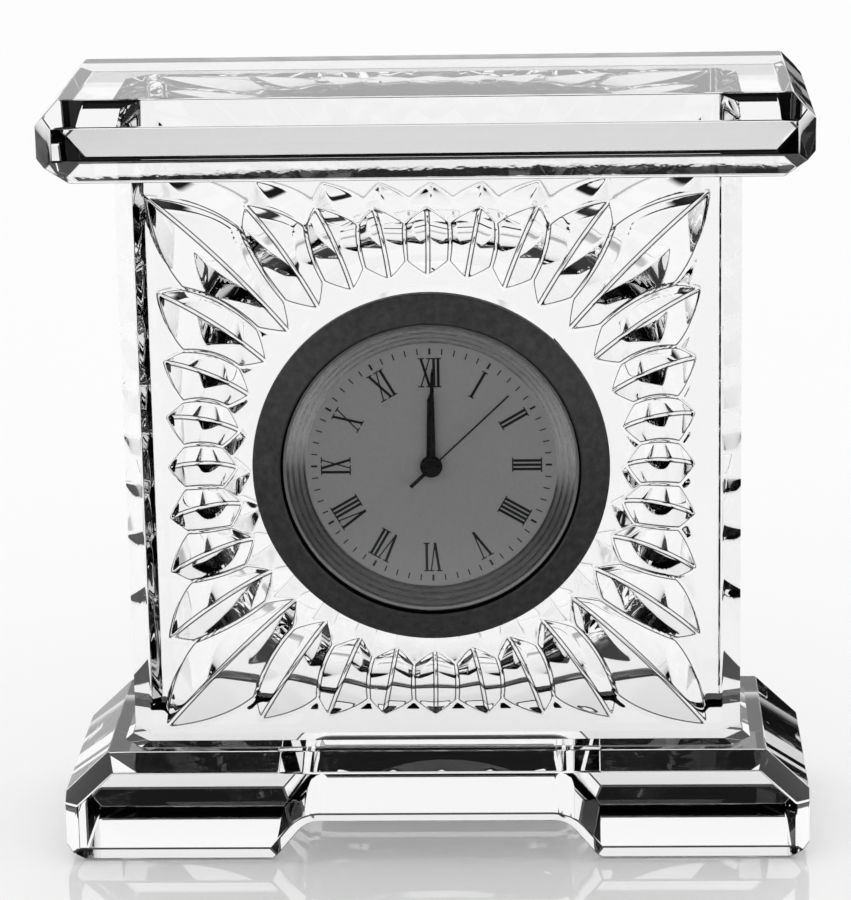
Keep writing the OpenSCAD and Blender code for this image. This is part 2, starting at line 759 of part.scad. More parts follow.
module coil_winding() {
    mid = stator_level - stator_t / 2 - core_w / 2;
    len = coil_right - coil_left - 2 * coil_end;
    color("peru") at_dial() translate([(coil_left + coil_right) / 2 - len / 2, coil_y, mid])
        rotate([0, 90, 0]) difference() {
            cylinder(r = coil_r, h = len, $fn = small);
            translate([-core_w / 2 - seat_gap, -core_w / 2 - seat_gap, -1])
                cube([core_w + 2 * seat_gap, core_w + 2 * seat_gap, len + 2]);
        }
}

module circuit_board() {
    color("darkgreen") at_dial() difference() {
        ring(plate_r - 0.3, 0, board_back, rear_back);
        translate(stem_at) rod(stem_r + 0.2, board_back - 1, rear_back + 1);
        at_screws(screw_ring_r, plate_screw_angles)
            rod(plate_shank_r + 2 * seat_gap, board_back - 1, rear_back + 1);
    }
}

module quartz_can() {
    can_r = 1;
    color("silver") at_dial() translate([-11.2, -8.6, board_back - can_r - seat_gap])
        rotate([0, 90, 55]) rotate_extrude($fn = small)
            polygon([[0, 0], [can_r - 0.1, 0], [can_r, 0.1], [can_r, 5.6], [0, 5.6]]);
}

module chip() {
    color("black") at_dial() translate([6.2, -10.6, board_back - 0.9]) cube([3.2, 3.2, 0.9]);
}

module battery_cell() {
    step = 0.9;
    color("lightgray") at_dial() translate([0, cell_up, cell_back]) rotate_extrude($fn = small * 2)
        polygon([[0, 0], [cell_r - 0.2, 0], [cell_r, 0.2], [cell_r, cell_h - step],
            [cell_r - 0.8, cell_h - step + 0.2], [cell_r - 0.9, cell_h], [0, cell_h]]);
}

// Round wall that holds the cell on the circuit board, open towards the hatch
module battery_holder() {
    inner = cell_r + 0.25;
    color("ivory") at_dial() translate([0, cell_up, 0]) difference() {
        ring(inner + holder_wall, inner, cell_back + 0.4, board_back, small * 2);
        translate([inner - 1, -slot_w / 2, cell_back]) cube([3, slot_w, cell_h + 1]);
    }
}

// Bent strip: flat on the board, then up through the holder's slot beside the cell
module positive_contact() {
    side = cell_r + seat_gap;
    color("goldenrod") at_dial() translate([0, cell_up + strip_w / 2, board_back]) rotate([90, 0, 0])
        linear_extrude(strip_w) polygon([[side - 1.5, 0], [side - 1.5, -strip_t], [side, -strip_t],
            [side, -cell_h + 0.6], [side + strip_t, -cell_h + 0.6], [side + strip_t, 0]]);
}

// Low bent strip between the board and the cell's smaller face
module negative_contact() {
    mid = -cell_room + strip_t;
    color("goldenrod") at_dial() translate([-1, cell_up, board_back]) rotate([90, 0, 90])
        linear_extrude(2) polygon([[-3.4, 0], [-3.4, -strip_t], [-1.8, -strip_t], [-0.8, -cell_room],
            [0.8, -cell_room], [1.8, -strip_t], [3.4, -strip_t], [3.4, 0], [1.7, 0], [0.7, mid],
            [-0.7, mid], [-1.7, 0]]);
}

// Stem from the knob to its pinion beside the minute wheel
module setting_stem() {
    pinion_r = pitch_r(motion_dist, stem_teeth, minute_teeth);
    color("silver") at_dial() translate(stem_at) union() {
        gear(stem_teeth, pinion_r, minute_level - 0.25, minute_level + 0.25,
            gap_towards(stem_angle + 180, stem_teeth));
        rod(stem_r, knob_back + 0.3, minute_level + 0.4);
    }
}

// Knob with a grooved rim
module setting_knob() {
    grooves = 24;
    color("dimgray") at_dial() translate(stem_at) difference() {
        rod(knob_r, knob_back, knob_back + knob_t, fine);
        rod(stem_r, knob_back + 0.3, knob_back + knob_t + 1);
        for (i = [0 : grooves - 1]) translate(polar(knob_r + 0.12, i * 360 / grooves))
            rod(0.3, knob_back - 1, knob_back + knob_t + 1, 6);
    }
}

// Screwed cover with the hatch's opening and the two notches that let its lugs in
module back_cover() {
    color("dimgray") at_dial() difference() {
        union() {
            ring(tube_r, 0, cover_back, cover_front);
            ring(liner_r, liner_r - 1.2, cover_front - eps, cover_front + spacer_lip);
        }
        translate([0, cell_up, 0]) rod(hatch_r + hatch_gap, cover_back - 1, cover_front + 1, fine);
        for (a = lug_angles) translate([0, cell_up, cover_back - 1]) rotate([0, 0, a + lug_turn])
            linear_extrude(cover_t + 2) lug_sector(hatch_r + lug_reach + hatch_gap, lug_half + 3);
        translate(stem_at) rod(stem_r + run_gap, cover_back - 1, cover_front + 1);
        at_screws(cover_screw_r, cover_screw_angles) {
            rod(cover_shank_r + 0.1, cover_back - 1, cover_front + 1);
            rod(cover_head_r + 0.05, cover_back - 1, cover_back + head_sink);
        }
    }
}

// Sector from the axis out to r, with the given half angle
module lug_sector(r, half) {
    intersection() {
        circle(r = r, $fn = fine);
        polygon([[0, 0], polar(2 * r, -half), polar(2 * r, half)]);
    }
}

module back_gasket() {
    color("black") at_dial() ring(tube_r - 0.1, tube_in_r + 0.1, cover_front, tube_back);
}

// Lid over the battery: two lugs turn in under the back cover
module battery_hatch() {
    lug_low = cover_front + hatch_gap;
    slot_l = 10;
    slot_h = 1.4;
    color("dimgray") at_dial() translate([0, cell_up, 0]) difference() {
        union() {
            ring(hatch_r, 0, cover_back, lug_low);
            for (a = lug_angles) translate([0, 0, lug_low]) rotate([0, 0, a])
                linear_extrude(0.5) lug_sector(hatch_r + lug_reach, lug_half);
            ring(cell_r, 0, lug_low - eps, cell_back - hatch_gap);
        }
        translate([-slot_l / 2, -slot_h / 2, cover_back - 1]) cube([slot_l, slot_h, 1.6]);
    }
}

// Screw along the dial axis, with its head towards the back
module screw(head_r, head_t, shank_r, head_front, tip) {
    difference() {
        union() {
            rod(head_r, head_front - head_t, head_front);
            rod(shank_r, head_front - eps, tip);
        }
        translate([-2, -0.12, head_front - head_t - 1]) cube([4, 0.24, 1 + head_t * 0.4]);
    }
}

module plate_screws() {
    color("silver") at_dial() at_screws(screw_ring_r, plate_screw_angles)
        screw(0.9, 0.5, plate_shank_r, board_back, rear_front + plate_screw_len);
}

module cover_screws() {
    color("silver") at_dial() at_screws(cover_screw_r, cover_screw_angles)
        screw(cover_head_r, head_sink - 0.05, cover_shank_r, cover_back + head_sink, cover_front + 5);
}

crystal_block();
bezel();
lens();
lens_gasket();
flange_ring();
dial();
hour_hand();
minute_hand();
second_hand();
grip_ring();
case_tube();
movement_ring();
front_plate();
rear_plate();
centre_wheel();
seconds_wheel();
third_wheel();
intermediate_wheel();
rotor();
minute_wheel();
hour_wheel();
stator();
coil_core();
coil_winding();
circuit_board();
quartz_can();
chip();
battery_cell();
battery_holder();
positive_contact();
negative_contact();
setting_stem();
setting_knob();
back_cover();
back_gasket();
battery_hatch();
plate_screws();
cover_screws();
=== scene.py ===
"""Looks of the crystal desk clock: glass, satin bezel, printed dial and a bright studio.

Metres, +Z up, front at -Y, unless a comment says otherwise.
"""
import json
import math

import bmesh
import bpy
from mathutils import Matrix, Vector


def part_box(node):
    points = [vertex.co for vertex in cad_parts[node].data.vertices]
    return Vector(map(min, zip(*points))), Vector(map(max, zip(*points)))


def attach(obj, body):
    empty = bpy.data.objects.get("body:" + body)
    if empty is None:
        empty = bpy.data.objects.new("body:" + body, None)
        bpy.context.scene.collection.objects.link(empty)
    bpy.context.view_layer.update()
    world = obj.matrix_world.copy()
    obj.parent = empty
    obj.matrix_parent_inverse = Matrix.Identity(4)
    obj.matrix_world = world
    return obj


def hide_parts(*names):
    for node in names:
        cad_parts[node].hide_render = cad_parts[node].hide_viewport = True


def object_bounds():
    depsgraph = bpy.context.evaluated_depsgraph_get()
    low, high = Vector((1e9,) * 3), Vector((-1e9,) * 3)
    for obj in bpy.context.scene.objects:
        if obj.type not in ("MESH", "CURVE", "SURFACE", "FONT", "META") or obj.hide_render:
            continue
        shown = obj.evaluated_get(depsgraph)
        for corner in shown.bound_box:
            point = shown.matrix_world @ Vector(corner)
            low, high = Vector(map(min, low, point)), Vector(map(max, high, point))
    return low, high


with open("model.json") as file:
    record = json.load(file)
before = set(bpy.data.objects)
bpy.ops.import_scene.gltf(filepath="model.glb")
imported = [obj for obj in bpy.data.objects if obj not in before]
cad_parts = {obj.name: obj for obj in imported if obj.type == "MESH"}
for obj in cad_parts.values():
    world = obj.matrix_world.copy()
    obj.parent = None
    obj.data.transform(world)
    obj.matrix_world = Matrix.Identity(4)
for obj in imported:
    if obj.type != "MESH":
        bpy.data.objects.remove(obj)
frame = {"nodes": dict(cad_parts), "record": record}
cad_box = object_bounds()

MM = 0.001

# The photograph's camera, with its turns in degrees, and its lens and sensor in millimetres
CAMERA_PLACE = Vector((20.228, -525.984, 201.323)) * MM
CAMERA_YAW = 2.343
CAMERA_PITCH = 15.467
CAMERA_ROLL = -1.069
CAMERA_LENS = 152.48
CAMERA_SENSOR = 36

# The floor: how far it reaches, and how far it lies under the feet
FLOOR_REACH = 3.0
FLOOR_DROP = 0.0001
# Where the table's colour is painted dark for glass and mirrors only, as painted reflections of dark
# surroundings:
# beyond its right and front edges, in a strip at its far end by its distance from the clock, and from where
# the table's mirrored front begins
TABLE_RIGHT = 0.13
TABLE_FRONT = -0.16
TABLE_PAINTED_DARK_STRIP = (1.078, 1.124)
TABLE_AHEAD = -0.03
# The studio as glass and mirrors show it, in parts of a unit direction: the dark ceiling, the dark gap under
# the bright panels and its half width, the top of the dark room, that room's span from its share of y in the
# level direction, and where the darkness behind the camera begins
CEILING = 0.669
GAP = (0.106, 0.163)
GAP_HALF_WIDTH = 0.16
ROOM_TOP = 0.42
ROOM_SPAN = (-0.94, 0.26)
BEHIND_CAMERA = -0.25
# Farther than any place or direction in this scene
FAR = 9
# How often light turns in the glass before it is lost
LIGHT_BOUNCES = 5

# The dial's axis and face, from the frame
DIAL_LOW, DIAL_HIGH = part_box("dial")
DIAL_CENTRE = (DIAL_LOW + DIAL_HIGH) / 2
DIAL_FACE_Y = DIAL_LOW.y

# The mitre cuts in the crystal's front and back, as in the part's source, in millimetres
CUT_COUNT = 32
CUT_INNER_R = 27.2
CUT_REACH = 36.9
CUT_CORNER_EXTRA = 2.6
FLANK_SLOPE = math.tan(math.radians(27))
CUT_FILL = 1.5
# The body's faces, and the slope of the bevels beside them
FACE_Y = 12.7
FACE_HALF_WIDTH = 40.7
BASE_TOP = 15.8
FACE_LOW = 17.4
FACE_TOP = 98.1
BEVEL_SLOPE = 3.4 / 2.7
# How far polished arrises are rounded: a cut's keel, its edges, the body's uprights and the block's others
KEEL_ROUND = 0.12
ARRIS_ROUND = 0.22
UPRIGHT_ROUND = 0.25
EDGE_ROUND = 0.28
# Edges that turn further than this are arrises, in degrees
ARRIS_TURN = 14
# Neighbouring faces that turn less than this shade as one surface, in degrees
SMOOTH_TURN = 35
# The bends of the block's fillets: the largest face in square metres, and their turns in radians
BEND_AREA = 6e-5
BEND_TURN = (0.005, 0.28)
# Steps of the relief's mesh across half a cut and along its length
FAN_STEPS = 14
LENGTH_STEPS = 60
# The bore's mouth, the flat rings outside it and the start of the relief, as radii in millimetres
BORE_MOUTH_R = 24
FLAT_R = (24.5, 25.6)
RELIEF_INNER_R = 26.4
# The relief's last rings, by how far they lie inside the body's upright edges, in millimetres
RIM_STEPS = (0.45, 0.32, 0.24, 0.16, 0.08)
# Directions closer than this count as one, in radians
SAME_TURN = 1e-5
# Painted dark line beside an arris, a painted shade for the dark that refraction shows there: how much of the
# light the glass lets through, by the distance from it in millimetres
PAINTED_ARRIS_LINE = ((0.15, 1), (0.2, 0.01), (0.34, 0.01), (0.42, 1))
# The mesh keeps that distance plus this, so that a place with none, at 0, stays clear
OFF_SHIFT = 2
# Refractive index of the crystal, and the height of its polishing waves
CRYSTAL_INDEX = 1.52
CRYSTAL_WAVE = 0.000008

# Distance between the turned rings on the flange
FLANGE_RING_STEP = 0.75 * MM

# The print on the dial, in millimetres
INK_HEIGHT = 0.02
TICK_OUTER_R = 16.9
TICK_INNER_R = 16.0
TICK_WIDTH = 0.17
HOUR_TICK_WIDTH = 0.3
NUMERAL_OUTER_R = 15.5
NUMERAL_INNER_R = 11.3
THICK_STROKE = 0.38
THIN_STROKE = 0.19
SERIF_HEIGHT = 0.17
SERIF_REACH = 0.24
STROKE_INSET = 0.3
NUMERALS = ("XII", "I", "II", "III", "IIII", "V", "VI", "VII", "VIII", "IX", "X", "XI")
LETTER_WIDTH = {"I": 0.62, "V": 1.75, "X": 1.75}


def new_material(name):
    """A material with its node tree and its Principled shader."""
    mat = bpy.data.materials.new(name)
    mat.use_nodes = True
    return mat, mat.node_tree, mat.node_tree.nodes["Principled BSDF"]


def position(tree, scale):
    """Object coordinates, stretched by scale along each axis."""
    coords = tree.nodes.new("ShaderNodeTexCoord")
    mapping = tree.nodes.new("ShaderNodeMapping")
    mapping.inputs["Scale"].default_value = scale if hasattr(scale, "__len__") else (scale,) * 3
    tree.links.new(coords.outputs["Object"], mapping.inputs["Vector"])
    return mapping.outputs["Vector"]


def noise(tree, scale, detail=4.0, roughness=0.5, size=1.0):
    """Noise with cells of about 1 / scale metres."""
    node = tree.nodes.new("ShaderNodeTexNoise")
    node.inputs["Scale"].default_value = size
    node.inputs["Detail"].default_value = detail
    node.inputs["Roughness"].default_value = roughness
    tree.links.new(position(tree, scale), node.inputs["Vector"])
    return node.outputs["Fac"]


def ramp(tree, factor, stops):
    """Colour or grey that follows factor through the stops."""
    node = tree.nodes.new("ShaderNodeValToRGB")
    elements = node.color_ramp.elements
    while len(elements) < len(stops):
        elements.new(0.5)
    for element, (place, value) in zip(elements, stops):
        element.position = place
        element.color = (*value, 1) if hasattr(value, "__len__") else (value, value, value, 1)
    tree.links.new(factor, node.inputs["Fac"])
    return node.outputs["Color"]


def math_node(tree, kind, a, b=None, c=None):
    """Result of one math operation on sockets or numbers."""
    node = tree.nodes.new("ShaderNodeMath")
    node.operation = kind
    for socket, value in zip(node.inputs, (a, b, c)):
        if isinstance(value, bpy.types.NodeSocket):
            tree.links.new(value, socket)
        elif value is not None:
            socket.default_value = value
    return node.outputs["Value"]


def product(tree, *values):
    """All the values multiplied."""
    result = values[0]
    for value in values[1:]:
        result = math_node(tree, "MULTIPLY", result, value)
    return result


def largest(tree, *values):
    """The largest of the values."""
    result = values[0]
    for value in values[1:]:
        result = math_node(tree, "MAXIMUM", result, value)
    return result


def inverse(tree, value):
    """1 where the value is 0, and 0 where it is 1."""
    return math_node(tree, "SUBTRACT", 1, value)


def hypotenuse(tree, a, b):
    """Length of the level vector with the sides a and b."""
    squares = math_node(tree, "MULTIPLY_ADD", a, a, math_node(tree, "MULTIPLY", b, b))
    return math_node(tree, "POWER", squares, 0.5)


def between(tree, value, low, high, soft):
    """1 where value lies between low and high, 0 outside, over a soft edge."""
    def step(edge, sign):
        node = tree.nodes.new("ShaderNodeMapRange")
        node.interpolation_type = "SMOOTHSTEP"
        tree.links.new(value, node.inputs["Value"])
        node.inputs["From Min"].default_value = edge - sign * soft
        node.inputs["From Max"].default_value = edge + sign * soft
        return node.outputs["Result"]
    return math_node(tree, "MULTIPLY", step(low, 1), step(high, -1))


def bump(tree, shader, height, strength, distance):
    """Relief on the shader's normal, as high as distance."""
    node = tree.nodes.new("ShaderNodeBump")
    node.inputs["Strength"].default_value = strength
    node.inputs["Distance"].default_value = distance
    tree.links.new(height, node.inputs["Height"])
    tree.links.new(node.outputs["Normal"], shader.inputs["Normal"])


def glass(name, ior, wave, tint=(1, 1, 1)):
    """Clear glass whose surface has faint polishing waves of that height."""
    mat, tree, shader = new_material(name)
    shader.inputs["Base Color"].default_value = (*tint, 1)
    shader.inputs["Transmission Weight"].default_value = 1
    shader.inputs["IOR"].default_value = ior
    bump(tree, shader, noise(tree, 220, 3, 0.55), 0.3, wave)
    tree.links.new(ramp(tree, noise(tree, 900, 2), [(0.55, 0.0), (0.9, 0.02)]), shader.inputs["Roughness"])
    return mat


def metal(name, colour, roughness, grain, wave, metallic=1.0):
    """Metal or paint whose tone and roughness vary at that grain (cells per metre)."""
    mat, tree, shader = new_material(name)
    shade = noise(tree, grain, 6, 0.6)
    darker = tuple(c * 0.82 for c in colour)
    tree.links.new(ramp(tree, shade, [(0.35, darker), (0.65, colour)]), shader.inputs["Base Color"])
    rough = ramp(tree, shade, [(0.3, roughness * 0.8), (0.7, min(1, roughness * 1.25))])
    tree.links.new(rough, shader.inputs["Roughness"])
    shader.inputs["Metallic"].default_value = metallic
    bump(tree, shader, shade, 0.4, wave)
    return mat


def bezel_material():
    """Dark satin metal, mottled, with fine specks."""
    mat, tree, shader = new_material("bezel_satin")
    mottle = noise(tree, 900, 8, 0.7)
    colour = ramp(tree, mottle, [(0.3, 0.035), (0.5, 0.055), (0.72, 0.085)])
    tree.links.new(colour, shader.inputs["Base Color"])
    tree.links.new(ramp(tree, mottle, [(0.3, 0.45), (0.7, 0.62)]), shader.inputs["Roughness"])
    shader.inputs["Metallic"].default_value = 0.55
    bump(tree, shader, mottle, 0.35, 0.00005)
    return mat


def flange_material():
    """Polished sloping ring with faint turned rings round the dial's axis."""
    mat, tree, shader = new_material("flange_polished")
    split = tree.nodes.new("ShaderNodeSeparateXYZ")
    coords = tree.nodes.new("ShaderNodeTexCoord")
    tree.links.new(coords.outputs["Object"], split.inputs["Vector"])
    height = math_node(tree, "SUBTRACT", split.outputs["Z"], DIAL_CENTRE.z)
    reach = hypotenuse(tree, height, split.outputs["X"])
    wave = math_node(tree, "SINE", math_node(tree, "MULTIPLY", reach, 2 * math.pi / FLANGE_RING_STEP))
    streak = math_node(tree, "MULTIPLY_ADD", noise(tree, 250, 3), 1.5, wave)
    tree.links.new(ramp(tree, streak, [(0.1, 0.42), (0.9, 0.62)]), shader.inputs["Base Color"])
    tree.links.new(ramp(tree, streak, [(0.1, 0.2), (0.9, 0.34)]), shader.inputs["Roughness"])
    shader.inputs["Metallic"].default_value = 0.82
    bump(tree, shader, wave, 0.2, 0.000002)
    return mat


def dial_material():
    """Silvered dial with a very fine grain."""
    mat, tree, shader = new_material("dial_silvered")
    grain = noise(tree, 2500, 3)
    tree.links.new(ramp(tree, grain, [(0.3, 0.41), (0.7, 0.45)]), shader.inputs["Base Color"])
    tree.links.new(ramp(tree, grain, [(0.3, 0.5), (0.7, 0.62)]), shader.inputs["Roughness"])
    bump(tree, shader, grain, 0.15, 0.00001)
    return mat


def crystal_material():
    """Cut crystal, with a painted dark line on either side of each polished arris, a painted shade for the
    dark that refraction shows there.
    """
    mat = glass("crystal_glass_painted_arris_line", CRYSTAL_INDEX, CRYSTAL_WAVE)
    tree = mat.node_tree
    scale = 2 * OFF_SHIFT
    off = tree.nodes.new("ShaderNodeAttribute")
    off.attribute_name = "arris_off"
    scaled = math_node(tree, "MULTIPLY", off.outputs["Fac"], 1 / scale)
    # Painted shade: the glass's colour goes dark beside each arris
    line = ramp(tree, scaled, [((OFF_SHIFT + distance) / scale, clear) for distance, clear in PAINTED_ARRIS_LINE])
    tree.links.new(line, tree.nodes["Principled BSDF"].inputs["Base Color"])
    return mat


MATERIALS = {
    "crystal": crystal_material(),
    # Nearly black glass: painted shade on the bevels that face down
    "crystal_painted_dark_arris": glass("crystal_painted_dark_arris", CRYSTAL_INDEX, 0.00002, (0.01, 0.01, 0.01)),
    "lens_glass": glass("lens_glass", 1.5, 0.000002),
    "bezel_metal": bezel_material(),
    "dial_face": dial_material(),
    "rubber": metal("rubber_black", (0.02, 0.02, 0.02), 0.6, 1500, 0.00003, 0.0),
    "polished_metal": flange_material(),
    "hand_black": metal("hand_lacquer", (0.008, 0.008, 0.008), 0.3, 2500, 0.000003, 0.0),
    "steel": metal("steel_plain", (0.5, 0.51, 0.53), 0.28, 1200, 0.00001),
    "brass": metal("brass_plain", (0.72, 0.55, 0.26), 0.25, 1200, 0.00001),
    "ivory_plastic": metal("ivory_moulding", (0.75, 0.71, 0.6), 0.45, 800, 0.00002, 0.0),
    "board_green": metal("board_lacquer", (0.02, 0.14, 0.06), 0.35, 1500, 0.00001, 0.0),
    "magnet": metal("magnet_grey", (0.09, 0.09, 0.1), 0.5, 2500, 0.00001, 0.3),
    "motor_iron": metal("iron_laminated", (0.3, 0.31, 0.33), 0.4, 1800, 0.00001),
    "copper": metal("copper_wire", (0.65, 0.3, 0.14), 0.3, 3000, 0.00002),
    "black_plastic": metal("chip_black", (0.02, 0.02, 0.02), 0.5, 2500, 0.00001, 0.0),
    "cover_metal": metal("cover_brushed", (0.45, 0.45, 0.46), 0.35, (300, 300, 4000), 0.00001),
    "dark_plastic": metal("knob_black", (0.05, 0.05, 0.05), 0.45, 1500, 0.00002, 0.0),
}


class MitreCut:
    """One grinding wheel's cut in the direction turn, in millimetres from the dial's axis."""

    def __init__(self, turn):
        lean = max(abs(math.cos(turn)), abs(math.sin(turn)))
        corner = (1 - lean) / (1 - math.sqrt(0.5))
        self.outer_r = CUT_REACH / lean + CUT_CORNER_EXTRA * corner * corner
        self.across = Vector((-math.sin(turn), math.cos(turn)))
        self.outward = Vector((math.cos(turn), math.sin(turn)))
        self.mid_r = (CUT_INNER_R + self.outer_r) / 2
        length = self.outer_r - CUT_INNER_R
        depth = CUT_FILL * self.mid_r * math.pi / CUT_COUNT * FLANK_SLOPE
        self.wheel_r = (length * length / 4 + depth * depth) / (2 * depth)
        self.hub = self.wheel_r - depth

    def depth(self, place):
        """Depth under the face, negative beside the cut."""
        off = place.dot(self.outward) - self.mid_r
        rim = self.wheel_r - FLANK_SLOPE * math.hypot(place.dot(self.across), KEEL_ROUND)
        return math.sqrt(rim * rim - off * off) - self.hub if rim > abs(off) else -1.0


def smooth_max(a, b, width):
    """The larger of the two, rounded off where they are closer than width."""
    return max(a, b) + max(width - abs(a - b), 0) ** 2 / (4 * width)


def relief(cuts, place):
    """Depth of the cuts under the face, all arrises rounded, and the way to the next arris."""
    step = 2 * math.pi / CUT_COUNT
    nearest = round(math.atan2(place.y, place.x) / step)
    low, high = sorted(cuts[i % CUT_COUNT].depth(place) for i in (nearest - 1, nearest, nearest + 1))[1:]
    keel = abs(place.dot(cuts[nearest % CUT_COUNT].across))
    way = high / FLANK_SLOPE
    if high > 0:
        way = min(keel, (high - low) / (2 * FLANK_SLOPE), way)
    return smooth_max(0, smooth_max(low, high, ARRIS_ROUND), ARRIS_ROUND), way


def fan_angles():
    """Directions round the dial, closer together along the cuts' keels and the ridges between them."""
    half = math.pi / CUT_COUNT
    steps = [i / FAN_STEPS for i in range(FAN_STEPS)]
    shares = [0.5 * step + 0.25 * (1 - math.cos(math.pi * step)) for step in steps]
    return [(n + share) * half - math.pi for n in range(2 * CUT_COUNT) for share in shares]


def seen_angle(vert):
    """Direction of a vertex from the dial's axis."""
    return math.atan2(vert.co.z - DIAL_CENTRE.z, vert.co.x)


def turn_from(start, end):
    """Turn from one direction to another, from nothing to a full turn."""
    return (end - start) % (2 * math.pi)


def ring(edges, angles):
    """The vertices of a closed loop of edges in those directions, added where there is none."""
    verts = sorted({v for e in edges for v in e.verts}, key=seen_angle)
    found = []
    for a, b in zip(verts, verts[1:] + verts[:1]):
        low = seen_angle(a)
        span = turn_from(low, seen_angle(b))
        turns = sorted(turn_from(low, angle) for angle in angles)
        found.append(a)
        start, end = a.co.copy(), b.co.copy()
        last = a
        done = 0.0
        for t in turns:
            if not SAME_TURN < t < span - SAME_TURN:
                continue
            way = Vector((math.cos(low + t), math.sin(low + t)))
            p0 = Vector((start.x, start.z - DIAL_CENTRE.z))
            p1 = Vector((end.x, end.z - DIAL_CENTRE.z))
            share = p0.cross(way) / (p0.cross(way) - p1.cross(way))
            edge = next(e for e in last.link_edges if e.other_vert(last) == b)
            new = bmesh.utils.edge_split(edge, last, (share - done) / (1 - done))[1]
            new.co = start.lerp(end, share)
            found.append(new)
            last, done = new, share
    return sorted(found, key=seen_angle)


def dial_distance(vert):
    """Distance of a vertex from the dial's axis, in millimetres."""
    return math.hypot(vert.co.x, vert.co.z - DIAL_CENTRE.z) / MM


def is_cut(face, side):
    """Whether a face lies within the body's cut face on that side, outside the bore's mouth."""
    slack = 0.02
    collar_slack = 0.22
    deepest = 3.7
    bore_r = 23.48
    for v in face.verts:
        x, y, z = v.co / MM
        beside = abs(x) > FACE_HALF_WIDTH + slack or not FACE_LOW - collar_slack < z < FACE_TOP + slack
        in_bore = side < 0 and dial_distance(v) < bore_r
        if beside or in_bore or not FACE_Y - deepest < side * y < FACE_Y + slack:
            return False
    return True


def open_loop(mesh, side, in_bore):
    """Edges of the opening on that side, those round the bore's mouth if in_bore."""
    return [e for e in mesh.edges if e.is_boundary
            and all(v.co.y * side > 0 and (dial_distance(v) < BORE_MOUTH_R) == in_bore for v in e.verts)]


def face_depth(cuts, place):
    """Depth of the body's face under its plane, with the cuts and its rounded upright edges."""
    edge = (abs(place.x) - FACE_HALF_WIDTH) * BEVEL_SLOPE
    depth, way = relief(cuts, place)
    return smooth_max(depth, edge, ARRIS_ROUND), way


def cut_face(mesh, side, cuts):
    """Relief of the cuts over the opening on that side, joined to the mesh round it.

    Only the front's arrises get the painted dark line.
    """
    layer = mesh.verts.layers.float["arris_off"]
    border = open_loop(mesh, side, False)
    mouth = open_loop(mesh, side, True)
    for v in {v for e in border for v in e.verts}:
        v.co += Vector((math.copysign(UPRIGHT_ROUND, v.co.x), -side * UPRIGHT_ROUND * BEVEL_SLOPE, 0)) * MM
    heights = {v.co.z - DIAL_CENTRE.z for e in border for v in e.verts}
    corners = [math.atan2(z / MM, turn * (FACE_HALF_WIDTH + i * 0.08)) for z in heights for turn in (-1, 1)
               for i in range(-3, 3)]
    taken = corners + [seen_angle(v) for v in {v for e in border + mouth for v in e.verts}]
    fan = [t for t in fan_angles() if all(abs(t - other) > 1e-3 for other in taken)]
    outer = ring(border, fan + taken)
    inner = ring(mouth, [seen_angle(v) for v in outer]) if mouth else None
    columns = []
    for v in outer:
        angle = seen_angle(v)
        way = Vector((math.cos(angle), math.sin(angle)))
        reach = dial_distance(v)
        tip = min(MitreCut(angle).outer_r + 0.5, 0.98 * reach)
        last = reach * (1 - 0.6 / FACE_HALF_WIDTH)
        radii = list(FLAT_R)
        radii += [RELIEF_INNER_R + (tip - RELIEF_INNER_R) * i / LENGTH_STEPS for i in range(LENGTH_STEPS + 1)]
        radii += [(tip + last) / 2, last]
        radii += [reach * (1 - off / FACE_HALF_WIDTH) for off in RIM_STEPS]
        column = []
        for r in radii:
            depth, off = face_depth(cuts, way * r)
            x, z = way.x * r * MM, DIAL_CENTRE.z + way.y * r * MM
            vert = mesh.verts.new((x, side * (FACE_Y - depth) * MM, z))
            vert[layer] = off + OFF_SHIFT if side < 0 else 0
            column.append(vert)
        v.co.y = side * (FACE_Y - face_depth(cuts, way * reach)[0]) * MM
        columns.append(column + [v])
    if mouth:
        columns = [[v] + column for v, column in zip(inner, columns, strict=True)]
        new = []
    else:
        new = [mesh.faces.new([column[0] for column in columns])]
    for a, b in zip(columns, columns[1:] + columns[:1]):
        new += [mesh.faces.new((a[k], a[k + 1], b[k + 1], b[k])) for k in range(len(a) - 1)]
    return new


def soften_normals(mesh, data, rounded):
    """Flat faces shade flat up to their edges, and the rounded ones between them turn smoothly."""
    def nearly(a, b):
        """Whether two faces shade as one surface."""
        return a.normal.dot(b.normal) > math.cos(math.radians(SMOOTH_TURN))

    normals = []
    for face in mesh.faces:
        for vert in face.verts:
            if face not in rounded:
                normals.append(face.normal)
                continue
            flats = [f for f in vert.link_faces if f not in rounded and nearly(f, face)]
            if flats:
                normals.append(max(flats, key=lambda f: f.normal.dot(face.normal)).normal)
            else:
                close = [f.normal for f in vert.link_faces if f in rounded and nearly(f, face)]
                normals.append(sum(close, Vector()).normalized())
    data.normals_split_custom_set(normals)


